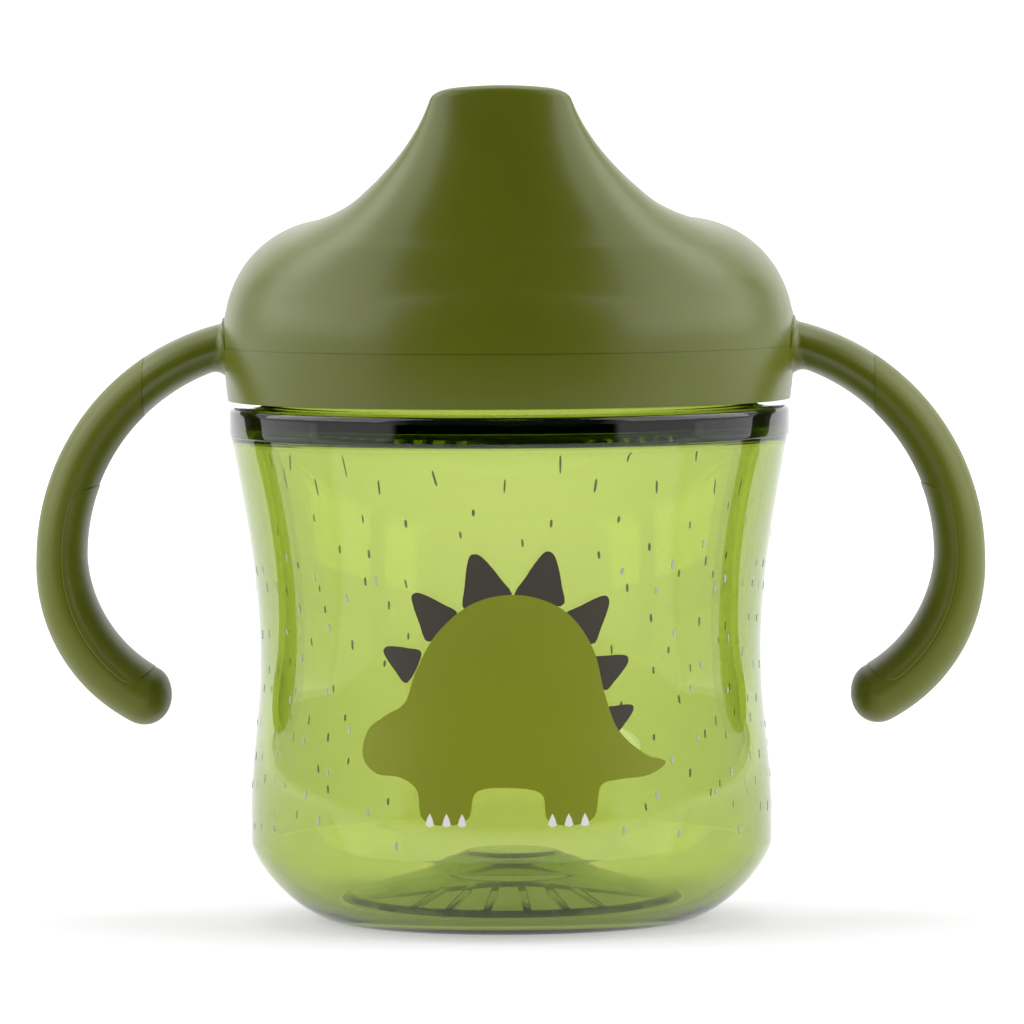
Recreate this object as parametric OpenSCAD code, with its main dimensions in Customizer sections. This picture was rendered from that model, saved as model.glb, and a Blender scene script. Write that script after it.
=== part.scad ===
// Two-handled sippy cup: clear cup, screw-on lid with a flared drinking spout, soft grips, no-spill valve.
// The frame has +Z up, and its origin is the centre of the ring that the cup stands on.
// The spout is at the front of the lid, towards -Y, and the handles reach out along +X and -X.

/* [Cup] */
// Radius of the cup at its waist
waist_r = 33.7; // [33.4:0.1:34]
// Radius of the bulge above the base
bulge_r = 35.1; // [34.8:0.1:35.6]
// Radius just under the flange
shoulder_r = 37.3; // [36.9:0.1:37.4]
// Height of the widest point of the bulge
bulge_z = 14.8; // [14.2:0.2:15.6]
// Height of the waist
waist_z = 34.8; // [32.8:0.5:36.8]
// Thickness of the cup's side wall
cup_wall = 2.3; // [2:0.1:2.6]
// Thickness of the cup's floor
floor_t = 2.2; // [2:0.1:2.6]
// Outer radius of the ring the cup stands on
rest_r = 23.8; // [23:0.1:25]

/* [Flange and neck] */
// Radius of the flange
flange_r = 37.7; // [37.5:0.1:38]
// Height of the flange's underside
flange_z = 65.2; // [64.8:0.1:65.6]
// Thickness of the flange
flange_t = 4; // [3.6:0.1:4.2]
// Outer radius of the neck that carries the thread
neck_r = 33.2; // [33:0.1:33.4]
// Height of the neck's lip
neck_top = 79.3; // [79.1:0.1:79.5]

/* [Thread] */
// Rise of the thread in one turn
thread_lead = 12; // [11:0.5:12]
// Length of each thread ridge in degrees
thread_arc = 150; // [120:5:160]
// Height of a thread ridge at its root
ridge_h = 1.6; // [1.4:0.1:1.8]

/* [Lid] */
// Greatest radius of the lid
lid_r = 38.4; // [38.3:0.1:38.8]
// Height of the lid's bottom edge
lid_bottom = 70; // [69.8:0.1:70.2]
// Height of the dome's top
dome_top = 94.5; // [93.8:0.1:95.3]
// Width of the dome's rounded shoulder
shoulder_w = 16.5; // [15:0.5:17]
// Thickness of the lid's wall
lid_wall = 2.4; // [2.2:0.1:2.6]

/* [Spout] */
// Height of the spout's tip
tip_z = 112.2; // [110.8:0.1:113.8]
// Half the width of the spout at its tip
tip_half_w = 9.15; // [8.8:0.05:9.6]
// How much less deep than wide the tip is, on each side
tip_flatten = 5; // [4.6:0.1:5.2]
// Distance of the tip's front face from the cup's axis
tip_front = 33.5; // [33:0.1:34.5]
// Softness of the crease between spout and dome
crease = 3.5; // [2:0.5:5]
// Radius of a drinking hole
drink_hole_r = 0.9; // [0.7:0.05:1]

/* [Handles] */
// Distance of the handle's outermost centre-line point from the cup's axis
handle_reach = 60.5; // [60:0.5:62]
// Height of that point
handle_z = 48.8; // [47.8:0.5:49.8]
// Radius of the handle's upper arc
upper_arc_r = 29.5; // [29:0.1:30]
// Radius of the handle's lower arc
lower_arc_r = 21; // [20.5:0.5:22]
// Angle on the upper arc where the soft grip begins
seam_angle = 53; // [48:1:58]

/* [Valves] */
// Distance of the drinking valve from the cup's axis
valve_y = 18; // [17:0.5:19]
// Radius of the socket that holds the drinking valve
valve_r = 7.2; // [6.8:0.1:7.4]
// Distance of the air vent from the cup's axis
vent_y = 17; // [15:0.5:19]
// Radius of the socket that holds the vent valve
vent_r = 3.7; // [3.4:0.1:4]

/* [Hidden] */
$fn = 96;

// Gap between pieces that slide past each other
run_gap = 0.05;

flange_top = flange_z + flange_t;
neck_wall = 2.2;
neck_in = neck_r - neck_wall;
corner_h = bulge_z - 4.1;
corner_power = 1.45;
rest_w = 1.4;
recess_r = rest_r - rest_w - 0.8;
recess_h = 1.1;
recess_rise = 3.6;
boss_h = 2.4;
boss_top_r = 6;
boss_foot_r = 11.4;
boss_foot_z = recess_h + recess_rise;
mark_h = 0.5;
mark_r = 16.8;
thread_z = flange_top + 3.8;
thread_drop = ridge_h + 0.15;

skirt_z = 77.2;
skirt_taper = 0.6;
dome_h = 16.5;
shoulder_z = dome_top - dome_h;
crown_r = lid_r - shoulder_w;
shoulder_power = 2.2;
crease_z = shoulder_z + 5;
rim_r = lid_r - skirt_taper;
lid_in_r = lid_r - lid_wall;
deck_z = dome_top - lid_wall;
deck_t = 2;

land_z = neck_top + 2;
land_t = 1.8;
seal_in = 30.4;
seal_out = 34.8;

socket_bottom = 84.9;
vent_bottom = 87.3;
vent_hole_r = 1.2;

cup_green = [0.66, 0.83, 0.2, 0.5];
olive = [0.42, 0.45, 0.12];
soft_olive = [0.47, 0.5, 0.17];
pad_green = [0.38, 0.42, 0.12];
silicone = [0.92, 0.92, 0.88, 0.8];
clear_white = [0.85, 0.88, 0.85];

// ---- Curves ----

// Points of a cubic curve, its first point left out
function bezier(a, b, c, d, n) =
    [for (i = [1 : n]) let (t = i / n, s = 1 - t)
        s * s * s * a + 3 * s * s * t * b + 3 * s * t * t * c + t * t * t * d];

// Points of the base corner, from foot (radius, height) up to the side, moved inwards by inset
function base_corner(foot, inset, n) =
    [for (i = [0 : n]) let (a = 90 * i / n)
        [foot.x + (bulge_r - inset - foot.x) * pow(sin(a), 2 / corner_power),
         corner_h - (corner_h - foot.y) * pow(cos(a), 2 / corner_power)]];

// Points of an elliptical arc, its first point left out
function arc(centre, rx, ry, from, to, n) =
    [for (i = [1 : n]) let (a = from + (to - from) * i / n)
        [centre.x + rx * cos(a), centre.y + ry * sin(a)]];

function smooth_min(a, b, k) = let (h = max(k - abs(a - b), 0) / k) min(a, b) - h * h * k / 4;
function smooth_max(a, b, k) = -smooth_min(-a, -b, k);
function reversed(list) = [for (i = [len(list) - 1 : -1 : 0]) list[i]];

// ---- Cup ----

// The side wall from the top of the base corner up to the flange, moved inwards by inset
function side_wall(inset) = concat(
    [[bulge_r - inset, bulge_z]],
    bezier([bulge_r - inset, bulge_z], [bulge_r - inset, bulge_z + 7],
           [waist_r - inset, waist_z - 7], [waist_r - inset, waist_z], 10),
    bezier([waist_r - inset, waist_z], [waist_r - inset, waist_z + 12],
           [shoulder_r - inset - 1.6, flange_z - 10], [shoulder_r - inset, flange_z - 1], 12));

function cup_outside() = concat(
    base_corner([rest_r, 0], 0, 12),
    side_wall(0),
    [[flange_r - 0.2, flange_z], [flange_r, flange_z + 0.4]],
    arc([flange_r - 0.9, flange_top - 0.9], 0.9, 0.9, 0, 90, 4),
    [[neck_r + 0.5, flange_top]],
    arc([neck_r + 0.5, flange_top + 0.5], 0.5, 0.5, -90, -180, 3),
    arc([neck_r - 0.6, neck_top - 0.6], 0.6, 0.6, 0, 90, 4),
    arc([neck_in + 0.6, neck_top - 0.6], 0.6, 0.6, 90, 180, 4));

function cup_inside() = concat(
    [[neck_in, flange_top - 0.3], [neck_in + 0.2, flange_top - 0.6],
     [shoulder_r - cup_wall - 0.1, flange_z + 0.3], [shoulder_r - cup_wall + 0.15, flange_z - 0.1]],
    reversed(side_wall(cup_wall)),
    reversed(base_corner([rest_r, floor_t], cup_wall, 10)),
    [[recess_r + 1.4, floor_t + 0.1], [recess_r + 0.6, recess_h + floor_t],
     [boss_foot_r, boss_foot_z + floor_t], [boss_top_r, boss_foot_z + floor_t + boss_h],
     [0, boss_foot_z + floor_t + boss_h]]);

function cup_underside() = [
    [0, boss_foot_z + boss_h], [boss_top_r - 0.8, boss_foot_z + boss_h],
    [boss_foot_r - 0.8, boss_foot_z], [recess_r - 0.4, recess_h], [recess_r, recess_h - 0.3],
    [rest_r - rest_w - 0.4, 0.5], [rest_r - rest_w, 0]];

// Plain raised bars on the recessed underside, in an arc at the front
module base_marks() {
    across = recess_r - boss_foot_r + 0.4;
    slope = atan(recess_rise / across);
    up = recess_h + recess_rise * (recess_r - 0.4 - mark_r) / across;
    for (i = [-2.5 : 2.5]) rotate([0, 0, i * 15]) translate([0, -mark_r, up]) rotate([slope, 0, 0]) {
        translate([-0.45, -3.3, -mark_h]) cube([0.9, 6.6, mark_h + 0.3]);
    }
}

// One helical ridge; root and crest are its radii, and z is the height of its middle at angle 0
module ridge(root, crest, z) {
    steps = 20;
    sections = [for (i = [0 : steps])
        let (a = thread_arc * i / steps,
             fade = min(1, min(i, steps - i) / 2),
             r = root + (crest - root) * max(fade, 0.12),
             up = z + thread_lead * a / 360,
             tip = ridge_h * 0.22)
        [for (p = [[root, -ridge_h / 2], [r, -tip], [r, tip], [root, ridge_h / 2]])
            [p.x * cos(a), p.x * sin(a), up + p.y]]];
    skin(sections, crest < root);
}

// Closes a row of equal rings of points into a solid; flip turns the faces of a left-handed row
module skin(rings, flip = false) {
    n = len(rings[0]);
    m = len(rings);
    points = [for (ring = rings, p = ring) p];
    sides = [for (i = [0 : m - 2], j = [0 : n - 1])
        let (a = i * n + j, b = i * n + (j + 1) % n) each [[a, b, b + n], [a, b + n, a + n]]];
    last = (m - 1) * n;
    cap = [for (j = [0 : ceil(n / 2) - 2]) let (k = n - 1 - j)
        each k > j + 2 ? [[j, j + 1, k - 1], [j, k - 1, k]] : [[j, j + 1, k]]];
    ends = concat([for (t = cap) reversed(t)], [for (t = cap) [for (i = t) i + last]]);
    all_faces = concat(sides, ends);
    polyhedron(points, flip ? [for (f = all_faces) reversed(f)] : all_faces);
}

module cup_body() {
    color(cup_green) union() {
        rotate_extrude() polygon(concat(cup_outside(), cup_inside(), cup_underside()));
        for (a = [0, 180]) rotate([0, 0, a]) ridge(neck_r - 0.4, neck_r + 1.4, thread_z);
        base_marks();
    }
}

// ---- Lid shape ----

// How far a point at radius r and height z lies outside the dome and its skirt
function dome_gap(r, z) =
    let (u = max(r - crown_r, 0) / shoulder_w, v = max(z - shoulder_z, 0) / dome_h,
         g = pow(pow(u, shoulder_power) + pow(v, shoulder_power), 1 / shoulder_power))
    max((g - 1) * shoulder_w, skirt_gap(r, z));

// The spout's flank flares in a curve down to flare_u below the tip, and is straight from there
flare_u = 16;
flare_start = 0.32;
flare_curve = 0.0322;
tip_round = 1.4;
tip_middle = tip_front - tip_half_w + tip_flatten;
front_lean = 0.19;
function flare_slope(u) = flare_start + 2 * flare_curve * min(max(u, 0), flare_u);
function flare(u) = let (c = min(u, flare_u))
    tip_half_w + flare_start * c + flare_curve * c * c + flare_slope(flare_u) * (u - c);

// How far a point lies outside the spout, whose sections are ellipses that touch its leaning front
function spout_gap(p) =
    let (u = tip_z - tip_round - p.z, w = flare(u), d = w - tip_flatten + u / 6,
         front = -min(tip_front + u * front_lean, lid_r),
         s = norm([p.x / w, (p.y - front - d) / d]))
    (s - 1) * min(w, d) / norm([1, flare_slope(u)]);

// How far a point at radius r and height z lies outside the skirt, taken as an endless tube
function skirt_gap(r, z) = r - lid_r + skirt_taper * max(0, skirt_z - z) / (skirt_z - lid_bottom);

// How far a point lies outside the lid's skin, or outside a skin that is inset further in
function lid_gap(p, inset) =
    let (r = norm([p.x, p.y]),
         tip_gap = p.z - tip_z + p.x * p.x / 120,
         cone_gap = smooth_max(spout_gap(p), skirt_gap(r, p.z), 2.5),
         spout = smooth_max(cone_gap, tip_gap, 1.2),
         softness = max(0.05, crease * min(1, (p.z - crease_z) / 8)))
    inset + smooth_min(dome_gap(r, p.z), spout, softness);

// Distance from o to the skin along direction d, found by halving
function reach(o, d, inset, near = 1, far = 70, n = 18) =
    let (m = (near + far) / 2)
    n == 0 ? m : lid_gap(o + m * d, inset) > 0 ? reach(o, d, inset, near, m, n - 1)
                                               : reach(o, d, inset, m, far, n - 1);

function unit(v) = v / norm(v);

// A closed skin: great-circle rows of points that fan out from the direction of the spout's tip
// to the directions in rim, as seen from o
module fan(o, rim, inset, rows) {
    axis = unit([0, -tip_middle, tip_z] - o);
    rings = [for (i = [1 : rows]) let (s = pow(i / rows, 1.25))
        [for (d = rim) let (v = unit(d), w = acos(axis * v),
             dir = (sin((1 - s) * w) * axis + sin(s * w) * v) / sin(w))
            o + reach(o, dir, inset) * dir]];
    skin(rings);
}

// ---- Lid parts ----

module lid_skin() {
    o = [0, -14, 80];
    fan(o, [for (a = [0 : 5 : 355]) [rim_r * cos(a), rim_r * sin(a), lid_bottom] - o], 0, 26);
}

module spout_cavity() {
    o = [0, -20, deck_z + deck_t];
    fan(o, [for (a = [0 : 10 : 350]) [cos(a), sin(a), 0]], lid_wall - 0.2, 12);
}

module dome_cavity() {
    rise = dome_h - lid_wall;
    rotate_extrude() polygon(concat(
        [[0, lid_bottom - 1], [lid_in_r, lid_bottom - 1]],
        [for (i = [0 : 9]) let (a = 10 * i)
            [crown_r + (shoulder_w - lid_wall) * pow(cos(a), 2 / shoulder_power),
             shoulder_z + rise * pow(sin(a), 2 / shoulder_power)]],
        [[0, deck_z]]));
}

// ---- Handles ----

root_angle = 80;
tip_angle = 72;
cap_angle = 10;

// Centre of a handle section: positive angles are on the upper arc, negative ones on the lower arc
function handle_point(a) = let (r = a > 0 ? upper_arc_r : lower_arc_r)
    [handle_reach - r + r * cos(a), 0, handle_z + r * sin(a)];

// Half the thickness and half the width of a handle section: slimmest at the root, fullest near the tip
function handle_size(a) =
    let (slim = max(0, a) / root_angle,
         grow = sin(min(90, max(0, -a) * 1.8)),
         past = max(0, -a - tip_angle + cap_angle) / cap_angle,
         k = sqrt(max(0.01, 1 - past * past)))
    k * ([3.4, 5.8] - slim * [0.45, 0.6] + grow * [0.6, 0.9]);

// A point of a handle section, where angle f counts from the side away from the cup
function handle_skin(a, f, k) = let (c = handle_point(a), h = handle_size(a) * k)
    c + h.x * cos(f) * [cos(a), 0, sin(a)] + [0, h.y * sin(f), 0];

function steps(from, to, n) = [for (i = [0 : n]) from + (to - from) * i / n];

core_k = 0.55;
core_end = -50;
pad_from = 22;
pad_to = -60;
pad_half = 84;
pad_floor_k = 0.78;
pad_wall = 2;
pad_proud_k = 1.03;

// Angles around a handle section, with a pair of points on each side for the walls of the pad's recess
pad_across = steps(180 - pad_half + pad_wall, 180 + pad_half - pad_wall, 9);
around = concat(steps(0, 180 - pad_half, 5), pad_across, steps(180 + pad_half, 344, 4));
pad_along = steps(pad_to, pad_from, 19);

function handle_ring(a, k) = [for (f = around) handle_skin(a, f, k)];
function recessed_ring(a) = [for (f = around) handle_skin(a, f, abs(f - 180) < pad_half ? pad_floor_k : 1)];

// The stiff core inside the grip
core_rings = [for (a = steps(seam_angle, core_end, 22)) handle_ring(a, core_k)];

module arm() {
    skin(concat([for (a = steps(root_angle, seam_angle, 8)) handle_ring(a, 1)], core_rings));
}

// The soft grip: a sleeve over the core, with a rounded end and a recess for the pad
module grip() {
    ease = 0.2;
    skin(concat(
        [for (i = [7 : -1 : 1]) handle_ring(-tip_angle + cap_angle * (1 - sin(i * 90 / 7)), 1)],
        [for (a = [cap_angle - tip_angle, pad_to - ease]) handle_ring(a, 1)],
        [for (a = pad_along) recessed_ring(a)],
        [for (a = steps(pad_from + ease, seam_angle, 7)) handle_ring(a, 1)],
        core_rings), true);
}

// The pad that lies in the grip's recess and stands slightly proud of it
module pad_solid() {
    widen = pad_half / (pad_half - pad_wall);
    skin([for (a = pad_along) concat(
        [for (f = pad_across) handle_skin(a, f, pad_floor_k)],
        [for (f = reversed(pad_across)) handle_skin(a, 180 + (f - 180) * widen, pad_proud_k)])]);
}

// ---- Lid ----

module ring(outer, inner, z, h) {
    translate([0, 0, z]) difference() {
        cylinder(r = outer, h = h);
        translate([0, 0, -1]) cylinder(r = inner, h = h + 2);
    }
}

module lid_hood() {
    color(olive) union() {
        difference() {
            union() {
                lid_skin();
                arm();
                mirror([1, 0, 0]) arm();
            }
            dome_cavity();
            spout_cavity();
            translate([0, -valve_y, deck_z - 4]) cylinder(r = valve_r, h = deck_t + 5);
            translate([0, vent_y, deck_z - 4]) cylinder(r = vent_hole_r, h = 9);
            for (x = [-4, 0, 4]) translate([x, -tip_middle, tip_z - 5]) cylinder(r = drink_hole_r, h = 8);
        }
        ring(lid_in_r + 0.6, seal_in - 0.2, land_z, land_t);
        translate([0, -valve_y, 0]) ring(valve_r + 1.6, valve_r, socket_bottom, deck_z + 0.5 - socket_bottom);
        translate([0, vent_y, 0]) ring(vent_r + 1.5, vent_r, vent_bottom, deck_z + 0.5 - vent_bottom);
        for (a = [0, 180]) rotate([0, 0, a]) ridge(lid_in_r + 0.4, neck_r + 0.8, thread_z - thread_drop);
    }
}

module grip_right() { color(soft_olive) grip(); }
module grip_left() { color(soft_olive) mirror([1, 0, 0]) grip(); }
module grip_pad_right() { color(pad_green) pad_solid(); }
module grip_pad_left() { color(pad_green) mirror([1, 0, 0]) pad_solid(); }

// ---- Seal and valves ----

module seal_ring() {
    lip_gap = 0.05;
    low = neck_top + lip_gap;
    high = land_z - lip_gap;
    bead = 0.5;
    color(silicone) rotate_extrude() polygon(concat(
        [[seal_in, low], [seal_out, low]],
        arc([seal_out - bead, high - bead], bead, bead, 0, 90, 4),
        arc([seal_in + bead, high - bead], bead, bead, 90, 180, 4)));
}

holder_bottom = 83.2;
holder_flange_t = 1.6;
membrane_r = 6;

module valve_holder() {
    plug_r = valve_r - run_gap;
    plug_top = socket_bottom + 7.4;
    flange_z0 = holder_bottom + holder_flange_t;
    color(clear_white) translate([0, -valve_y, 0]) difference() {
        union() {
            rotate_extrude() polygon([
                [0, holder_bottom], [valve_r + 2.2, holder_bottom], [valve_r + 2.4, holder_bottom + 0.2],
                [valve_r + 2.4, flange_z0], [plug_r, flange_z0], [plug_r, plug_top - 0.8],
                [plug_r - 0.8, plug_top], [0, plug_top]]);
            hull() {
                translate([0, valve_r, holder_bottom]) cylinder(r = 3.2, h = 1.2, $fn = 32);
                translate([0, valve_r + 6.5, holder_bottom]) cylinder(r = 3.2, h = 1.2, $fn = 32);
            }
        }
        translate([0, 0, holder_bottom - 1]) cylinder(r = 4.6, h = 12);
        translate([0, 0, holder_bottom - 1]) cylinder(r = membrane_r, h = 4.2);
        translate([0, valve_r + 6.5, holder_bottom - 1]) cylinder(r = 1.6, h = 4);
    }
}

module valve_membrane() {
    low = holder_bottom + 0.2;
    high = holder_bottom + 3.2 - run_gap;
    edge = membrane_r - run_gap;
    web = 0.7;
    color(silicone) translate([0, -valve_y, 0]) difference() {
        rotate_extrude() polygon(concat(
            [[edge - 1.6, low], [edge, low], [edge, high], [edge - 1.6, high]],
            arc([0, low + 0.6 + web], edge - 2, 1.5, 0, 90, 6),
            arc([0, low + 0.6], edge - 2, 1.5, 90, 0, 6)));
        for (a = [0, 90]) rotate([0, 0, a]) translate([-2.2, -0.06, low]) cube([4.4, 0.12, 4]);
    }
}

module vent_valve() {
    plug_r = vent_r - run_gap;
    bottom = vent_bottom - 4.4;
    color(silicone) translate([0, vent_y, 0]) difference() {
        rotate_extrude() polygon([
            [0, bottom], [1.1, bottom], [2.2, bottom + 2.6], [plug_r + 1.2, bottom + 3.2],
            [plug_r + 1.2, vent_bottom - 0.1], [plug_r, vent_bottom - 0.1],
            [plug_r, deck_z - 0.7], [plug_r - 0.5, deck_z - 0.2], [0, deck_z - 0.2]]);
        translate([0, 0, bottom + 1.6]) cylinder(r1 = 0.3, r2 = 1.6, h = 2.6);
        translate([0, 0, bottom + 4.19]) cylinder(r = 1.6, h = 8);
        translate([-0.8, -0.06, bottom - 1]) cube([1.6, 0.12, 4]);
    }
}

cup_body();
lid_hood();
grip_left();
grip_right();
grip_pad_left();
grip_pad_right();
seal_ring();
valve_holder();
valve_membrane();
vent_valve();
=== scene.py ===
"""Looks of the two-handled sippy cup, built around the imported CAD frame.

Shapes are worked out in millimetres and turned into metres when a mesh is made.
"""

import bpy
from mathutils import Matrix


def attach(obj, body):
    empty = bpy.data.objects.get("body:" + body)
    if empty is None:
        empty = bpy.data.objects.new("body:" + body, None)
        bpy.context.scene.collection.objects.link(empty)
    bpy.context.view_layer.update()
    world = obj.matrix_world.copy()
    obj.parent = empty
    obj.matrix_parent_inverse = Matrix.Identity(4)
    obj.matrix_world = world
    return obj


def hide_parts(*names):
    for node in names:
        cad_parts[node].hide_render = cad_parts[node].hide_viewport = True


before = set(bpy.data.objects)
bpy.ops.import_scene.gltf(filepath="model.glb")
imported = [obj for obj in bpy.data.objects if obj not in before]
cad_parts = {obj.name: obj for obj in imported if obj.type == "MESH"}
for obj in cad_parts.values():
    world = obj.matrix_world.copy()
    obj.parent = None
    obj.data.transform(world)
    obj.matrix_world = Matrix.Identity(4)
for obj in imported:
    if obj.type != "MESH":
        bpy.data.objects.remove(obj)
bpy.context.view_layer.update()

import math

import bmesh
import bpy
import numpy as np
from mathutils import Matrix, Vector
from mathutils.geometry import delaunay_2d_cdt

MM = 0.001

# ---------------------------------------------------------------- shape values (mm), as in the CAD source

WAIST_R, BULGE_R, SHOULDER_R = 33.7, 35.1, 37.3
BULGE_Z, WAIST_Z = 14.8, 34.8
CUP_WALL, FLOOR_T, REST_R = 2.3, 2.2, 23.8
FLANGE_R, FLANGE_Z, FLANGE_T = 37.7, 65.2, 4.0
FLANGE_TOP = FLANGE_Z + FLANGE_T
NECK_R, NECK_TOP, NECK_IN, LIP_ROUND = 33.2, 79.3, 31.0, 0.6
THREAD_LEAD, THREAD_ARC, RIDGE_H = 12.0, 150.0, 1.6
THREAD_Z = FLANGE_TOP + 3.8
CORNER_H, CORNER_POWER, REST_W = BULGE_Z - 4.1, 1.45, 1.4
RECESS_R, RECESS_H, RECESS_RISE = REST_R - REST_W - 0.8, 1.1, 3.6
BOSS_H, BOSS_TOP_R, BOSS_FOOT_R, BOSS_FOOT_Z = 2.4, 6.0, 11.4, RECESS_H + RECESS_RISE
MARK_R, MARK_H, MARK_HALF_W, MARK_HALF_L, MARK_STEP = 16.8, 0.5, 0.5, 3.3, 15

LID_R, LID_BOTTOM, DOME_TOP, SHOULDER_W, LID_WALL = 38.4, 70.0, 94.5, 16.5, 2.4
SKIRT_Z, SKIRT_TAPER, DOME_H, SHOULDER_POWER = 77.2, 0.6, 16.5, 2.2
SHOULDER_Z = DOME_TOP - DOME_H
CROWN_R = LID_R - SHOULDER_W
CREASE_Z = SHOULDER_Z + 5
RIM_R = LID_R - SKIRT_TAPER
LID_IN_R = LID_R - LID_WALL
DECK_Z, DECK_T = DOME_TOP - LID_WALL, 2.0
TIP_Z, TIP_HALF_W, TIP_FLATTEN, TIP_FRONT, CREASE = 112.2, 9.15, 5.0, 33.5, 3.5
TIP_MIDDLE = TIP_FRONT - TIP_HALF_W + TIP_FLATTEN
TIP_ROUND, FRONT_LEAN = 1.4, 0.19
FLARE_U, FLARE_START, FLARE_CURVE = 16.0, 0.32, 0.0322
LAND_Z, LAND_T, SEAL_IN = 81.3, 1.8, 30.4
SOCKET_BOTTOM, VENT_BOTTOM = 84.9, 87.3
VALVE_Y, VALVE_R, VENT_Y, VENT_R = 18.0, 7.2, 17.0, 3.7
DRINK_X, DRINK_R, VENT_HOLE_R = 4.0, 0.9, 1.2

HANDLE_REACH, HANDLE_Z, UPPER_ARC_R, LOWER_ARC_R = 60.5, 48.8, 29.5, 21.0
ROOT_ANGLE, SEAM_ANGLE, TIP_ANGLE, CAP_ANGLE = 80.0, 53.0, 72.0, 10.0
CORE_K, CORE_END = 0.55, -50.0
SEAM_X, SEAM_GAP = 49.1, 0.05
PAD_FROM, PAD_TO, PAD_HALF = 22.0, -60.0, 84.0
PAD_END, PAD_FLOOR_K, PAD_PROUD, PAD_SUNK, PAD_ROLL = 8.0, 0.79, 0.24, 0.12, 0.45
RECESS_WIDER, RECESS_FLOOR_K, GRIP_ROUND_R = 1.2, 0.775, 5.6

# ---------------------------------------------------------------- mesh helpers


def make_object(name, verts, faces):
    """A new object from vertices in millimetres."""
    mesh = bpy.data.meshes.new(name)
    mesh.from_pydata([tuple(v) for v in np.asarray(verts, float) * MM], [], faces)
    mesh.validate()
    obj = bpy.data.objects.new(name, mesh)
    bpy.context.scene.collection.objects.link(obj)
    return obj


def shade(obj, degrees=32):
    """Smooth shading, with edges sharper than this kept sharp."""
    mesh = obj.data
    mesh.polygons.foreach_set("use_smooth", [True] * len(mesh.polygons))
    mesh.set_sharp_from_angle(angle=math.radians(degrees))


def grid_faces(rows, cols, flip=False):
    """Quads of a grid whose columns close into a ring."""
    i, j = np.meshgrid(np.arange(rows - 1), np.arange(cols), indexing="ij")
    a, b = i * cols + j, i * cols + (j + 1) % cols
    quads = np.stack([a, b, b + cols, a + cols], -1).reshape(-1, 4)
    return (quads[:, ::-1] if flip else quads).tolist()


def skin(rings, flip=False):
    """Vertices and faces of a closed tube through equal rings; its ends are fans round their middles."""
    rings = np.asarray(rings, float)
    m, n = rings.shape[:2]
    verts = np.concatenate([rings.reshape(-1, 3), rings[[0, -1]].mean(1)])
    faces = grid_faces(m, n)
    j = np.arange(n)
    k = (j + 1) % n
    last = (m - 1) * n
    faces += np.stack([np.full(n, m * n), k, j], -1).tolist()
    faces += np.stack([np.full(n, m * n + 1), last + j, last + k], -1).tolist()
    if flip:
        faces = [f[::-1] for f in faces]
    return verts, faces


def revolve(profile, cols, warp=None):
    """Turns a profile of (r, z) points about the axis.

    A profile that starts and ends at r = 0 gets a pole at each end, and any other is a closed loop.
    """
    profile = np.asarray(profile, float)
    poles = profile[0, 0] == 0 and profile[-1, 0] == 0
    body = profile[1:-1] if poles else profile
    t = np.arange(cols) * 2 * np.pi / cols
    r = np.repeat(body[:, :1], cols, 1)
    z = np.repeat(body[:, 1:], cols, 1)
    if warp:
        r, z = warp(r, z, np.broadcast_to(t, r.shape))
    verts = np.stack([r * np.cos(t), r * np.sin(t), z], -1).reshape(-1, 3)
    rows = len(body)
    faces = grid_faces(rows, cols)
    j = np.arange(cols)
    k = (j + 1) % cols
    last = (rows - 1) * cols
    if poles:
        verts = np.concatenate([verts, [[0, 0, profile[0, 1]], [0, 0, profile[-1, 1]]]])
        faces += np.stack([np.full(cols, rows * cols), k, j], -1).tolist()
        faces += np.stack([np.full(cols, rows * cols + 1), last + j, last + k], -1).tolist()
    else:
        faces += np.stack([last + j, last + k, k, j], -1).tolist()
    return verts, faces


def outward(obj):
    """Turns a closed mesh's faces so that they point outwards."""
    bm = bmesh.new()
    bm.from_mesh(obj.data)
    bmesh.ops.recalc_face_normals(bm, faces=bm.faces)
    bm.to_mesh(obj.data)
    bm.free()
    return obj


def combine(obj, others, operation):
    """Boolean with each of the other objects in turn, which are then removed."""
    for other in others:
        modifier = obj.modifiers.new("cut", "BOOLEAN")
        modifier.operation = operation
        modifier.solver = "MANIFOLD"
        modifier.object = other
        graph = bpy.context.evaluated_depsgraph_get()
        mesh = bpy.data.meshes.new_from_object(obj.evaluated_get(graph))
        obj.modifiers.clear()
        obj.data = mesh
        bpy.data.objects.remove(other)
    return obj


def mirrored(obj, name):
    """A copy of an object, mirrored in x."""
    mesh = obj.data.copy()
    mesh.name = name
    mesh.transform(Matrix.Diagonal((-1, 1, 1, 1)))
    mesh.flip_normals()
    twin = bpy.data.objects.new(name, mesh)
    bpy.context.scene.collection.objects.link(twin)
    return twin


# ---------------------------------------------------------------- curves


def arc(centre, rx, ry, start, end, n):
    """Points of an elliptical arc, its first point left out."""
    a = np.radians(start + (end - start) * np.arange(1, n + 1) / n)
    return np.stack([centre[0] + rx * np.cos(a), centre[1] + ry * np.sin(a)], -1).tolist()


def bezier(a, b, c, d, n):
    """Points of a cubic curve, its first point left out."""
    t = (np.arange(1, n + 1) / n)[:, None]
    a, b, c, d = map(np.asarray, (a, b, c, d))
    s = 1 - t
    return (s**3 * a + 3 * s * s * t * b + 3 * s * t * t * c + t**3 * d).tolist()


def line(a, b, n):
    """Points of a straight line, its first point left out."""
    t = (np.arange(1, n + 1) / n)[:, None]
    return ((1 - t) * np.asarray(a, float) + t * np.asarray(b, float)).tolist()


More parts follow.
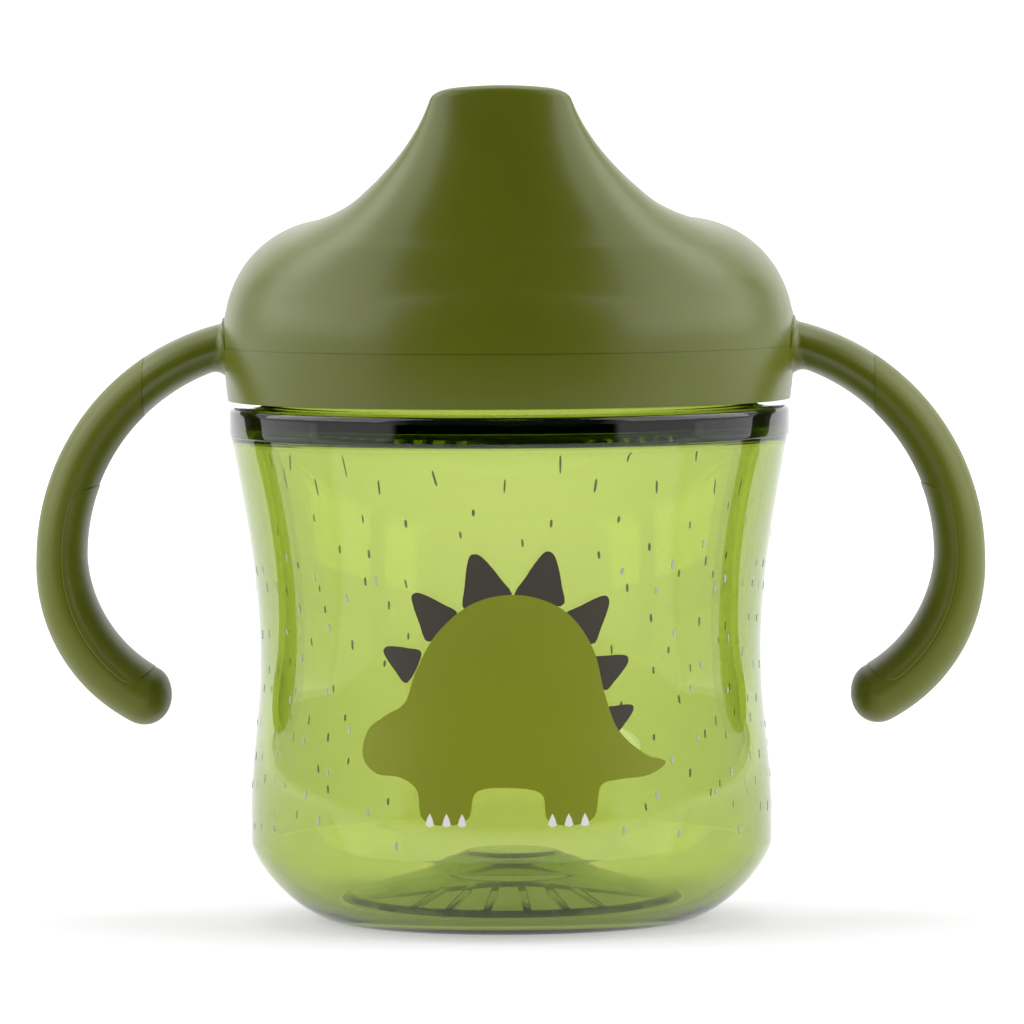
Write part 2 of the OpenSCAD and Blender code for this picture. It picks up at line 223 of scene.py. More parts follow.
def rounded(points, radii, n=6):
    """A chain of points whose inner corners are rounded with the given radii."""
    out = [list(points[0])]
    for i in range(1, len(points) - 1):
        p = np.array(points[i], float)
        u, v = np.array(points[i - 1]) - p, np.array(points[i + 1]) - p
        r = min(radii[i - 1], 0.45 * np.linalg.norm(u), 0.45 * np.linalg.norm(v))
        a, b = p + r * u / np.linalg.norm(u), p + r * v / np.linalg.norm(v)
        out += [(((1 - t) ** 2) * a + 2 * t * (1 - t) * p + t * t * b).tolist() for t in np.linspace(0, 1, n)]
    return out + [list(points[-1])]


def smooth_min(a, b, k):
    """The lower of a and b, blended where they differ by less than k."""
    h = np.maximum(k - np.abs(a - b), 0) / k
    return np.minimum(a, b) - h * h * k / 4


def smooth_max(a, b, k):
    return -smooth_min(-a, -b, k)


def smooth_step(x):
    x = np.clip(x, 0, 1)
    return x * x * (3 - 2 * x)


# ---------------------------------------------------------------- cup


def side_wall(inset, n=1):
    """Points up the cup's side, averaged over a few millimetres so that nothing seen through it jumps."""
    low, waist, top = [BULGE_R, BULGE_Z], [WAIST_R, WAIST_Z], [SHOULDER_R, FLANGE_Z - 1]
    top_pull, run_on = 1.6, 8
    rough = np.array(
        [[BULGE_R, CORNER_H - run_on], low]
        + bezier(low, [low[0], BULGE_Z + 7], [waist[0], WAIST_Z - 7], waist, 60)
        + bezier(waist, [waist[0], WAIST_Z + 12], [top[0] - top_pull, top[1] - 9], top, 60)
        + [[top[0] + run_on * top_pull / 9, top[1] + run_on]])
    reach, spread_mm = 6, 2.2
    offsets = np.linspace(-reach, reach, 49)
    weights = np.exp(-offsets**2 / (2 * spread_mm**2))
    z = np.linspace(CORNER_H + 0.8, FLANGE_Z - 1, 60 * n)
    r = sum(w * np.interp(z + d, rough[:, 1], rough[:, 0]) for w, d in zip(weights, offsets)) / weights.sum()
    return np.stack([r - inset, z], -1).tolist()


def wall_radius(z):
    """Outer radius of the cup's side at height z."""
    wall = np.array(side_wall(0, 3))
    return np.interp(z, wall[:, 1], wall[:, 0])


def base_corner(foot, inset, n):
    """Points of the base corner, from foot (radius, height) up to the side."""
    a = np.linspace(0, math.pi / 2, n)
    across = (BULGE_R - inset - foot[0]) * np.sin(a) ** (2 / CORNER_POWER)
    down = (CORNER_H - foot[1]) * np.cos(a) ** (2 / CORNER_POWER)
    return np.stack([foot[0] + across, CORNER_H - down], -1).tolist()


def cup_outside():
    """Points from the edge of the foot up the side, over the flange and up the neck to the lip."""
    low, high, root, lip = 0.25, 0.9, 0.5, LIP_ROUND
    outside = base_corner((REST_R, 0), 0, 30)[1:] + side_wall(0, 2)
    outside += arc([FLANGE_R - low, FLANGE_Z + low], low, low, -90, 0, 4)
    outside += line([FLANGE_R, FLANGE_Z + low], [FLANGE_R, FLANGE_TOP - high], 6)
    outside += arc([FLANGE_R - high, FLANGE_TOP - high], high, high, 0, 90, 9)
    outside += line([FLANGE_R - high, FLANGE_TOP], [NECK_R + root, FLANGE_TOP], 3)
    outside += arc([NECK_R + root, FLANGE_TOP + root], root, root, -90, -180, 5)
    outside += line([NECK_R, FLANGE_TOP + root], [NECK_R, NECK_TOP - lip], 46)
    return outside + arc([NECK_R - lip, NECK_TOP - lip], lip, lip, 0, 90, 7)


def cup_inside():
    """Points from the lip down the inside, over the corner and up the floor's cone and boss to the axis."""
    inside = arc([NECK_IN + LIP_ROUND, NECK_TOP - LIP_ROUND], LIP_ROUND, LIP_ROUND, 90, 180, 7)
    wall = SHOULDER_R - CUP_WALL
    inside += rounded([inside[-1], [NECK_IN, FLANGE_TOP - 0.45], [wall + 0.17, FLANGE_Z + 0.1],
                       [wall - 0.04, FLANGE_Z - 1.2]], [0.4, 0.3])[1:-1]
    inside += side_wall(CUP_WALL)[::-1] + base_corner((REST_R, FLOOR_T), CUP_WALL, 26)[::-1][:-1]
    return inside + rounded([
        inside[-1], [RECESS_R + 1.5, FLOOR_T], [RECESS_R + 0.6, RECESS_H + FLOOR_T],
        [BOSS_FOOT_R, BOSS_FOOT_Z + FLOOR_T], [BOSS_TOP_R, BOSS_FOOT_Z + FLOOR_T + BOSS_H],
        [0, BOSS_FOOT_Z + FLOOR_T + BOSS_H]], [0.7, 0.5, 0.6, 0.4])[1:]


def cup_underside():
    """Points from the axis down the boss and the recess's cone to the foot's ring."""
    return rounded([
        [0, BOSS_FOOT_Z + BOSS_H], [BOSS_TOP_R - 0.8, BOSS_FOOT_Z + BOSS_H], [BOSS_FOOT_R - 0.8, BOSS_FOOT_Z],
        [RECESS_R - 0.2, RECESS_H], [REST_R - REST_W - 0.3, 0.15], [REST_R - REST_W, 0], [REST_R - 0.2, 0],
        [REST_R, 0]], [0.4, 0.5, 0.4, 0.2, 0.1, 0.1])


def thread_warp(r, z, t):
    """Raises the thread's ridges on the neck."""
    ridge_out, flank, run_out = 1.4, RIDGE_H * 0.28, 12
    neck = (z > FLANGE_TOP + 0.6) & (z < NECK_TOP - 0.5) & (r > NECK_R - 0.05)
    for start in (0, math.pi):
        a = np.degrees((t - start) % (2 * math.pi))
        up = THREAD_Z + THREAD_LEAD * a / 360
        fade = smooth_step(np.minimum(a, THREAD_ARC - a) / run_out)
        height = ridge_out * np.clip((RIDGE_H / 2 - np.abs(z - up)) / flank, 0, 1)
        r = np.where(neck & (a < THREAD_ARC), r + height * fade, r)
    return r, z


def base_mark(turn):
    """A plain raised bar on the sloping underside, with its edges rounded off."""
    cone_r = RECESS_R - 0.2
    across = cone_r - BOSS_FOOT_R + 0.8
    slope = math.atan(RECESS_RISE / across)
    up = RECESS_H + RECESS_RISE * (cone_r - MARK_R) / across
    rings = []
    for drop, inset in ((0.3, 0), (-MARK_H + 0.15, 0), (-MARK_H + 0.04, 0.05), (-MARK_H, 0.15)):
        half_w, half_l = MARK_HALF_W - inset, MARK_HALF_L - inset
        rings.append([(half_w * u, half_l * v, drop) for u, v in ((-1, -1), (1, -1), (1, 1), (-1, 1))])
    verts, faces = skin(rings)
    place = Matrix.Translation((0, -MARK_R, up)) @ Matrix.Rotation(slope, 4, "X")
    move = Matrix.Rotation(turn, 4, "Z") @ place
    return outward(make_object("mark", [move @ Vector(v) for v in verts], faces))


def make_cup():
    """The clear cup, with its threads and the six bars under its base."""
    profile = cup_underside() + cup_outside() + cup_inside()
    keep = [profile[0]]
    for p in profile[1:]:
        if math.dist(p, keep[-1]) > 1e-4:
            keep.append(p)
    obj = outward(make_object("cup_shell", *revolve(keep, 448, thread_warp)))
    combine(obj, [base_mark(math.radians(MARK_STEP * i)) for i in np.arange(-2.5, 3)], "UNION")
    shade(obj, 40)
    return obj


# ---------------------------------------------------------------- lid


def skirt_gap(r, z):
    """How far points lie outside the skirt, which leans in gently towards the lid's bottom edge."""
    down = np.maximum(0, SKIRT_Z - z) / (SKIRT_Z - LID_BOTTOM)
    return r - LID_R + SKIRT_TAPER * down**1.5


def dome_gap(r, z):
    """How far points lie outside the dome, whose shoulder is a superellipse round a flat crown."""
    u = np.maximum(r - CROWN_R, 0) / SHOULDER_W
    v = np.maximum(z - SHOULDER_Z, 0) / DOME_H
    g = (u**SHOULDER_POWER + v**SHOULDER_POWER) ** (1 / SHOULDER_POWER)
    return np.maximum((g - 1) * SHOULDER_W, skirt_gap(r, z))


def flare_slope(u):
    return FLARE_START + 2 * FLARE_CURVE * np.clip(u, 0, FLARE_U)


def flare(u):
    """Half the spout's width at u below its tip."""
    c = np.minimum(u, FLARE_U)
    return TIP_HALF_W + FLARE_START * c + FLARE_CURVE * c * c + flare_slope(FLARE_U) * (u - c)


def spout_gap(p):
    """How far points lie outside the spout, whose section is an ellipse that leans back from the front."""
    u = TIP_Z - TIP_ROUND - p[..., 2]
    w = flare(u)
    d = w - TIP_FLATTEN + u / 6
    front = -np.minimum(TIP_FRONT + u * FRONT_LEAN, LID_R)
    s = np.hypot(p[..., 0] / w, (p[..., 1] - front - d) / d)
    return (s - 1) * np.minimum(w, d) / np.sqrt(1 + flare_slope(u) ** 2)


def lid_gap(p, inset=0.0):
    """How far points lie outside the lid's skin, or outside a skin inset further in."""
    r = np.hypot(p[..., 0], p[..., 1])
    z = p[..., 2]
    tip = z - TIP_Z + p[..., 0] ** 2 / 120
    front_soft = 2.5 + 6 * np.clip(1 - np.abs(p[..., 0]) / 26, 0, 1)
    spout = smooth_max(smooth_max(spout_gap(p), skirt_gap(r, z), front_soft), tip, 1.2)
    softness = np.maximum(0.05, CREASE * np.minimum(1, (z - CREASE_Z) / 8))
    return inset + smooth_min(dome_gap(r, z), spout, softness)


def fan(centre, rim, inset, rows):
    """Rings of points on the skin, from the spout's tip out to the directions in rim, as seen from centre."""
    centre = np.asarray(centre, float)
    axis = np.array([0, -TIP_MIDDLE, TIP_Z]) - centre
    axis /= np.linalg.norm(axis)
    rim = np.asarray(rim, float)
    rim /= np.linalg.norm(rim, axis=1, keepdims=True)
    angle = np.arccos(rim @ axis)[None, :, None]
    s = ((np.arange(1, rows + 1) / rows) ** 1.25)[:, None, None]
    way = (np.sin((1 - s) * angle) * axis + np.sin(s * angle) * rim[None]) / np.sin(angle)
    near, far = np.full(way.shape[:2], 1.0), np.full(way.shape[:2], 70.0)
    for _ in range(34):
        middle = (near + far) / 2
        out = lid_gap(centre + middle[..., None] * way, inset) > 0
        far, near = np.where(out, middle, far), np.where(out, near, middle)
    return centre + ((near + far) / 2)[..., None] * way


def ring_of(cols):
    """Points round a unit circle."""
    a = np.arange(cols) * 2 * np.pi / cols
    return np.stack([np.cos(a), np.sin(a)], -1)


def lid_outer():
    """The lid's outer skin as a closed solid, from the spout's tip down to the skirt's edge."""
    cols, rows = 288, 190
    centre = np.array([0, -14, 80.0])
    flat = ring_of(cols)
    rim = np.concatenate([flat * RIM_R, np.full((cols, 1), LID_BOTTOM)], 1) - centre
    rings = fan(centre, rim, 0, rows)
    rings[-1, :, :2] = flat * RIM_R
    rings[-1, :, 2] = LID_BOTTOM
    return outward(make_object("lid_shell", *skin(rings)))


def spout_cavity():
    """The space inside the spout, above the deck."""
    cols = 128
    centre = [0, -20, DECK_Z + DECK_T]
    rim = np.concatenate([ring_of(cols), np.zeros((cols, 1))], 1)
    return outward(make_object("cavity", *skin(fan(centre, rim, LID_WALL - 0.2, 60))))


def dome_cavity():
    """The space inside the dome and the skirt, with a small bevel at its mouth."""
    rise = DOME_H - LID_WALL
    a = np.radians(np.linspace(0, 90, 31))
    curve = np.stack([CROWN_R + (SHOULDER_W - LID_WALL) * np.cos(a) ** (2 / SHOULDER_POWER),
                      SHOULDER_Z + rise * np.sin(a) ** (2 / SHOULDER_POWER)], -1)
    bevel = 0.4
    mouth = [[0, LID_BOTTOM - 1], [LID_IN_R + bevel, LID_BOTTOM - 1], [LID_IN_R + bevel, LID_BOTTOM],
             [LID_IN_R, LID_BOTTOM + bevel]]
    profile = mouth + curve.tolist() + [[0, DECK_Z]]
    return outward(make_object("cavity", *revolve(profile, 192)))


def tube(outer, inner, z, height, y=0.0, cols=128):
    """An upright tube whose axis is at x = 0 and y."""
    loop = [[inner, z], [outer, z], [outer, z + height], [inner, z + height]]
    verts, faces = revolve(loop, cols)
    verts[:, 1] += y
    return outward(make_object("tube", verts, faces))


def rod(radius, x, y, z, height, cols=48):
    """An upright cylinder."""
    verts, faces = revolve([[0, z], [radius, z], [radius, z + height], [0, z + height]], cols)
    verts[:, 0] += x
    verts[:, 1] += y
    return outward(make_object("rod", verts, faces))


def ridge(root, crest, z, start):
    """One helical ridge of the lid's inner thread."""
    n = 60
    rings = []
    for i in range(n + 1):
        a = math.radians(THREAD_ARC * i / n)
        fade = max(0.12, float(smooth_step(min(i, n - i) / 6)))
        r = root + (crest - root) * fade
        up = z + THREAD_LEAD * math.degrees(a) / 360
        tip = RIDGE_H * 0.22
        section = [(root, -RIDGE_H / 2), (r, -tip), (r, tip), (root, RIDGE_H / 2)]
        rings.append([(p * math.cos(a + start), p * math.sin(a + start), up + q) for p, q in section])
    return outward(make_object("ridge", *skin(rings)))


def parting_line():
    """A hairline where the two halves of the lid's mould met."""
    return tube(LID_R + 1, LID_R - 0.07, SKIRT_Z - 0.06, 0.12, cols=288)


# ---------------------------------------------------------------- handles


def handle_point(a):
    """Centre of the handle's section at angle a: positive on the upper arc, negative on the lower arc."""
    radius = UPPER_ARC_R if a > 0 else LOWER_ARC_R
    t = math.radians(a)
    return np.array([HANDLE_REACH - radius + radius * math.cos(t), 0, HANDLE_Z + radius * math.sin(t)])


def handle_size(a):
    """Half the thickness and half the width of the handle's section, slimmest at the root."""
    slim = max(0, a) / ROOT_ANGLE
    grow = math.sin(math.radians(min(90, max(0, -a) * 1.8)))
    past = max(0, -a - TIP_ANGLE + CAP_ANGLE) / CAP_ANGLE
    k = math.sqrt(max(0.0004, 1 - past * past))
    return k * np.array([3.4 - 0.45 * slim + 0.6 * grow, 5.8 - 0.6 * slim + 0.9 * grow])


def handle_ring(a, f, k=1.0, lift=0.0):
    """Points of a handle section at angles f, in degrees from the side away from the cup.

    The section is scaled by k, and its points then stand off it by lift.
    """
    f = np.radians(np.asarray(f, float))
    t = math.radians(a)
    w, d = handle_size(a)
    radial = np.array([math.cos(t), 0, math.sin(t)])
    nx, ny = np.cos(f) / w, np.sin(f) / d
    size = np.hypot(nx, ny)
    across = w * k * np.cos(f) + lift * nx / size
    along = d * k * np.sin(f) + lift * ny / size
    return handle_point(a) + across[:, None] * radial + along[:, None] * np.array([0, 1, 0])


AROUND = np.arange(96) * 360 / 96


def fillet_lift(ring):
    """How far the points of an arm near the lid stand off, so that it runs into the lid in a fillet."""
    gap = lid_gap(ring)
    under = (1 - np.cos(np.radians(AROUND))) / 2
    radius = 0.7 + 1.3 * under
    inside = np.clip(gap, 0, radius)
    return radius - np.sqrt(np.maximum(radius**2 - (radius - inside) ** 2, 0))


def handle_solid():
    """The whole handle, from its root in the lid's wall to its rounded end."""
    angles = np.concatenate([np.arange(ROOT_ANGLE, 69, -0.1), np.arange(69, CAP_ANGLE - TIP_ANGLE, -0.55)])
    rings = [handle_ring(a, AROUND, 1.0, fillet_lift(handle_ring(a, AROUND))) for a in angles]
    cap = [CAP_ANGLE * (1 - math.sin(t)) - TIP_ANGLE for t in np.linspace(0, math.pi / 2, 26)]
    rings += [handle_ring(a, AROUND) for a in cap]
    return outward(make_object("handle", *skin(rings)))


def seam_box(x):
    """The space on the lid's side of the seam, which is an upright plane across the handle's upper arc."""
    corners = [(u, v, w) for u in (20, x) for v in (-12, 12) for w in (60, 100)]
    faces = [(0, 1, 3, 2), (4, 6, 7, 5), (0, 4, 5, 1), (2, 3, 7, 6), (0, 2, 6, 4), (1, 5, 7, 3)]
    return outward(make_object("box", corners, faces))


def arm():
    """The lid's stiff arm, which ends at the seam, with the core that the soft grip sits on."""
    stub = combine(handle_solid(), [seam_box(SEAM_X - SEAM_GAP / 2)], "INTERSECT")
    core = [handle_ring(a, AROUND, CORE_K) for a in np.linspace(SEAM_ANGLE + 4, CORE_END, 60)]
    return combine(stub, [outward(make_object("core", *skin(core)))], "UNION")


def pad_width(a, extra):
    """Half the angle that the pad spans at a, with rounded ends."""
    near = min(PAD_FROM - a, a - PAD_TO)
    t = max(0.0, 1 - max(near, 0) / PAD_END)
    return (PAD_HALF + extra) * math.sqrt(max(1 - t * t, 0.0006))


def crowded(n, power):
    """Numbers from -1 to 1 that get closer together towards both ends."""
    s = np.linspace(-1, 1, n)
    return np.sign(s) * (1 - (1 - np.abs(s)) ** power)


def rolled_edge(off):
    """How far the pad stands off the grip, at a distance off its own rolled-under edge."""
    return PAD_PROUD * np.sqrt(1 - (1 - np.clip(off / PAD_ROLL, 0, 1)) ** 2) - PAD_SUNK


def clear_of_grip(off):
    """A height well outside the grip, for the recess's cutter."""
    return np.ones(len(off))


def pad_solid(name, lift_at, extra, floor_k):
    """A curved slab on the inner side of the handle: the pad, or the cutter for its recess."""
    middle, reach = (PAD_FROM + PAD_TO) / 2, (PAD_FROM - PAD_TO) / 2
    rings = []
    for a in middle + crowded(111, 1.35)[::-1] * reach:
        half = pad_width(a, extra)
        q = crowded(61, 1.6)
        off = (1 - np.abs(q)) * math.radians(half) * GRIP_ROUND_R
        top = handle_ring(a, 180 + q * half, 1.0, lift_at(off))
        low = handle_ring(a, 180 + q[::-1] * half, floor_k)
        rings.append(np.concatenate([top, low]))
    rings = np.array(rings)
    m, n = rings.shape[:2]
    faces = grid_faces(m, n)
    for base, turn in ((0, 1), ((m - 1) * n, -1)):
        for j in range(n // 2 - 1):
            faces.append([base + v for v in (j, j + 1, n - 2 - j, n - 1 - j)][::turn])
    return outward(make_object(name, rings.reshape(-1, 3), faces))


def sleeve():
    """The soft grip with its rounded end, hollow for the core and recessed for the pad."""
    core = [handle_ring(a, AROUND, CORE_K) for a in np.linspace(SEAM_ANGLE + 6, CORE_END, 60)]
    cuts = [seam_box(SEAM_X + SEAM_GAP / 2), outward(make_object("core", *skin(core))),
            pad_solid("recess", clear_of_grip, RECESS_WIDER, RECESS_FLOOR_K)]
    obj = combine(handle_solid(), cuts, "DIFFERENCE")
    obj.name = obj.data.name = "grip_sleeve_right"
    shade(obj, 30)
    return obj


def pad():
    """The soft pad in the right grip's recess."""
    obj = pad_solid("grip_pad_right_skin", rolled_edge, 0, PAD_FLOOR_K)
    shade(obj, 30)
    return obj


def make_lid():
    """The lid: dome, spout, skirt and both handle arms, with its holes, sockets and thread."""
    lid = lid_outer()
    combine(lid, [parting_line()], "DIFFERENCE")
    right = arm()
    left = mirrored(right, "arm_left")
    combine(lid, [right, left], "UNION")
    holes = [rod(DRINK_R, x, -TIP_MIDDLE, TIP_Z - 5, 8) for x in (-DRINK_X, 0, DRINK_X)]
    combine(lid, [dome_cavity(), spout_cavity(), rod(VALVE_R, 0, -VALVE_Y, DECK_Z - 4, DECK_T + 5, 96),
                  rod(VENT_HOLE_R, 0, VENT_Y, DECK_Z - 4, 9)] + holes, "DIFFERENCE")
    into_deck = DECK_Z + 0.5
    seal_land = tube(LID_IN_R + 0.6, SEAL_IN - 0.2, LAND_Z, LAND_T, cols=192)
    valve_socket = tube(VALVE_R + 1.6, VALVE_R, SOCKET_BOTTOM, into_deck - SOCKET_BOTTOM, -VALVE_Y, 96)
    vent_socket = tube(VENT_R + 1.5, VENT_R, VENT_BOTTOM, into_deck - VENT_BOTTOM, VENT_Y, 96)
    thread = [ridge(LID_IN_R + 0.4, NECK_R + 0.8, THREAD_Z - RIDGE_H - 0.15, start) for start in (0, math.pi)]
    combine(lid, [seal_land, valve_socket, vent_socket] + thread, "UNION")
    shade(lid, 30)
    return lid


# ---------------------------------------------------------------- prints on the cup


def on_cup(points, lift):
    """Points given by (distance round the cup from its front, height) on the cup's side, lifted off it."""
    s, z = points[:, 0], points[:, 1]
    r = wall_radius(z) + lift
    t = -np.pi / 2 + s / WAIST_R
    return np.stack([r * np.cos(t), r * np.sin(t), z], -1)


def flat_region(outline, step):
    """Triangles that fill an outline, with inner points every step so that they can follow a curve."""
    outline = np.asarray(outline, float)
    lo, hi = outline.min(0), outline.max(0)
    xs, ys = np.arange(lo[0], hi[0], step), np.arange(lo[1], hi[1], step)
    inner = np.stack(np.meshgrid(xs, ys), -1).reshape(-1, 2) + 0.0137
    points = [Vector(p) for p in np.concatenate([outline, inner])]
    n = len(outline)
    verts, _, faces, *_ = delaunay_2d_cdt(points, [], [list(range(n))], 1, 1e-5)
    return np.array([tuple(v) for v in verts]), [list(f) for f in faces]


def ink(name, outlines, step=0.8, top=0.05, sunk=0.03):
    """A thin layer of ink on the cup: a closed shell that stands off it by top and starts sunk inside it."""
    verts, faces = [], []
    for outline in outlines:
        flat, tris = flat_region(outline, step)
        used = sorted({v for f in tris for v in f})
        index = {v: i for i, v in enumerate(used)}
        flat = flat[used]
        tris = [[index[v] for v in f] for f in tris]
        base, n = sum(len(v) for v in verts), len(flat)
        verts += [on_cup(flat, top), on_cup(flat, -sunk)]
        edges = {}
        for a, b, c in tris:
            faces.append([base + a, base + b, base + c])
            faces.append([base + n + c, base + n + b, base + n + a])
            for e in ((a, b), (b, c), (c, a)):
                edges[e] = edges.get(e, 0) + 1
        for a, b in edges:
            if (b, a) not in edges:
                faces.append([base + a, base + n + a, base + n + b, base + b])
    obj = outward(make_object(name, np.concatenate(verts), faces))
    shade(obj, 40)
    return obj


def spline(points, n):
    """A smooth closed curve through points."""
    p = np.asarray(points, float)
    m = len(p)
    out = []
    for i in range(m):
        a, b, c, d = p[(i - 1) % m], p[i], p[(i + 1) % m], p[(i + 2) % m]
        for t in np.arange(n) / n:
            out.append(0.5 * (2 * b + (c - a) * t + (2 * a - 5 * b + 4 * c - d) * t * t
                              + (3 * b - a - 3 * c + d) * t**3))
    return np.array(out)


def lozenge(x, z, w, h, tilt):
    """A small upright stroke with rounded ends."""
    a = np.radians(np.arange(0, 360, 30))
    px = w / 2 * np.sign(np.cos(a)) * np.abs(np.cos(a)) ** 0.7
    pz = h / 2 * np.sign(np.sin(a)) * np.abs(np.sin(a)) ** 0.9
    c, s = math.cos(tilt), math.sin(tilt)
    return np.stack([x + c * px - s * pz, z + s * px + c * pz], -1)


# The plain dinosaur's outline from its nose over its back to its tail, then back along its feet
BODY = [(-19.2, 24.2), (-18.6, 27.6), (-16.0, 29.6), (-13.2, 31.4), (-11.6, 35.6), (-8.6, 40.6), (-3.6, 44.6),
        (2.4, 45.6), (8.2, 43.4), (12.0, 38.4), (13.6, 32.4), (15.4, 27.6), (19.0, 24.4), (22.2, 23.2),
        (19.4, 21.6), (15.2, 21.2), (12.6, 20.4), (11.6, 16.4), (8.4, 15.4), (5.6, 16.2), (4.8, 19.6),
        (0.6, 20.4), (-3.4, 19.8), (-4.4, 16.4), (-7.4, 15.4), (-10.4, 16.3), (-11.2, 20.0), (-13.6, 21.6),
        (-17.0, 22.0)]

# Each back plate's foot, the angle it points along in degrees, its width and its height
PLATES = [(-12.4, 36.2, -62, 4.4, 4.4), (-8.2, 41.6, -42, 5.2, 5.4), (-2.0, 45.0, -16, 6.0, 6.2),
          (4.8, 45.2, 10, 6.0, 6.2), (10.2, 41.2, 42, 5.2, 5.4), (13.0, 35.2, 64, 4.4, 4.4),
          (14.8, 29.2, 62, 3.2, 3.2)]
CLAWS_X, CLAWS_Z, CLAW_W, CLAW_H = (-9.4, -7.2, -5.2, 6.2, 8.3, 10.4), 15.3, 1.15, 1.7


def plate(x, z, angle, w, h):
    """One back plate: a rounded triangle whose foot is at (x, z) and that points along angle."""
    base = [(-w / 2, -0.6), (-w * 0.36, h * 0.42), (-w * 0.12, h * 0.92), (w * 0.04, h), (w * 0.2, h * 0.86),
            (w * 0.42, h * 0.35), (w / 2, -0.6)]
    c, s = math.cos(angle), math.sin(angle)
    return [(x + p * c + q * s, z - p * s + q * c) for p, q in base]


def claw(x, z, w, h):
    """A small pale toe nail that points up from the foot's edge."""
    return np.array([(x - w / 2, z + 0.15), (x - w * 0.3, z + h * 0.6), (x, z + h),
                     (x + w * 0.3, z + h * 0.6), (x + w / 2, z + 0.15), (x, z - 0.1)])


def in_motif(x, z):
    """Whether a place lies so near the dinosaur that it gets no stroke."""
    return -21 < x < 23 and 13.5 < z < 52 and (x / 22) ** 2 + ((z - 31) / 21) ** 2 < 1.1


def scattered_strokes():
    """Small upright strokes all round the cup in staggered rows, longest near the top."""
    rng = np.random.default_rng(7)
    around = 2 * math.pi * WAIST_R
    count, row_step = 21, 4.3
    strokes = []
    for row, z in enumerate(np.arange(14, 62, row_step)):
        for i in range(count):
            x = (i + 0.5 * (row % 2)) * around / count - around / 2 + rng.uniform(-2.4, 2.4)
            y = z + rng.uniform(-1.7, 1.7)
            stretch = 1 + 1.6 * float(smooth_step((y - 55) / 4))
            height = rng.uniform(0.9, 1.35) * stretch
            width = rng.uniform(0.3, 0.46) / (1 + 0.3 * (stretch - 1))
            tilt = rng.normal(0, 0.12)
            highest = 52 if abs(x) < around / 4 else 61.5
            if y < highest and not in_motif(x, y):
                strokes.append(lozenge(x, y, width, height, tilt))
    return strokes


def make_prints():
    """The dinosaur's body, its plates and claws, and the strokes, each in its own ink."""
    body = ink("print_motif", [spline(BODY, 8)], top=0.06, sunk=0.04)
    outlines = [spline(plate(x, z, math.radians(a), w, h), 4) for x, z, a, w, h in PLATES]
    plates = ink("print_plates", outlines)
    claws = ink("print_claws", [claw(x, CLAWS_Z, CLAW_W, CLAW_H) for x in CLAWS_X], 1, 0.08, 0.03)
    dashes = ink("print_dashes", scattered_strokes(), step=5)
    return body, plates, claws, dashes


# ---------------------------------------------------------------- materials

OLIVE = (0.094, 0.112, 0.0038)
SOFT_OLIVE = (0.105, 0.122, 0.0040)
PAD_OLIVE = (0.105, 0.120, 0.0040)
MOTIF = (0.195, 0.225, 0.006)
PLATE = (0.045, 0.038, 0.028)
PALE_INK = (0.62, 0.63, 0.58)
WHITE_INK = (0.72, 0.72, 0.68)
SILICONE = (0.80, 0.81, 0.76)
NATURAL = (0.72, 0.75, 0.68)
CLEAR_GREEN, CLEAR_DENSITY = (0.615, 0.70, 0.0), 560

def new_material(name, **values):
    """A Principled material with some inputs set, its node tree and its shader."""
    material = bpy.data.materials.new(name)
    material.use_nodes = True
    tree = material.node_tree
    shader = tree.nodes["Principled BSDF"]
    for key, value in values.items():
        shader.inputs[key.replace("_", " ")].default_value = value
    return material, tree, shader


def noise(tree, scale, detail=3.0):
    """Fine cloudy noise in the object's own space."""
    place = tree.nodes.new("ShaderNodeTexCoord")
    node = tree.nodes.new("ShaderNodeTexNoise")
    node.inputs["Scale"].default_value = scale
    node.inputs["Detail"].default_value = detail
    node.inputs["Roughness"].default_value = 0.55
    tree.links.new(place.outputs["Object"], node.inputs["Vector"])
    return node.outputs["Fac"]


def spread(tree, factor, low, high):
    """Maps a factor around one half to the range from low to high."""
    node = tree.nodes.new("ShaderNodeMapRange")
    node.inputs["From Min"].default_value = 0.3
    node.inputs["From Max"].default_value = 0.7
    node.inputs["To Min"].default_value = low
    node.inputs["To Max"].default_value = high
    tree.links.new(factor, node.inputs["Value"])
    return node.outputs["Result"]


def blend_colour(tree, factor, a, b):
    node = tree.nodes.new("ShaderNodeMix")
    node.data_type = "RGBA"
    node.inputs[6].default_value = (*a, 1)
    node.inputs[7].default_value = (*b, 1)
    tree.links.new(factor, node.inputs[0])
    return node.outputs[2]


def add_bump(tree, shader, factor, strength, distance):
    node = tree.nodes.new("ShaderNodeBump")
    node.inputs["Strength"].default_value = strength
    node.inputs["Distance"].default_value = distance
    tree.links.new(factor, node.inputs["Height"])
    tree.links.new(node.outputs["Normal"], shader.inputs["Normal"])


def plastic(name, base, rough, scale, vary=0.05, bump=0.06, **values):
    """Moulded plastic: slight drift in colour and gloss, and a very fine surface grain."""
    material, tree, shader = new_material(name, Roughness=rough, **values)
    drift = spread(tree, noise(tree, 60), 0, 1)
    darker = tuple(c * (1 - vary) for c in base)
    lighter = tuple(min(1, c * (1 + vary)) for c in base)
    tree.links.new(blend_colour(tree, drift, darker, lighter), shader.inputs["Base Color"])
    tree.links.new(spread(tree, noise(tree, 350), rough * 0.94, rough * 1.06), shader.inputs["Roughness"])
    add_bump(tree, shader, noise(tree, scale, 4), bump, 0.0001)
    return material


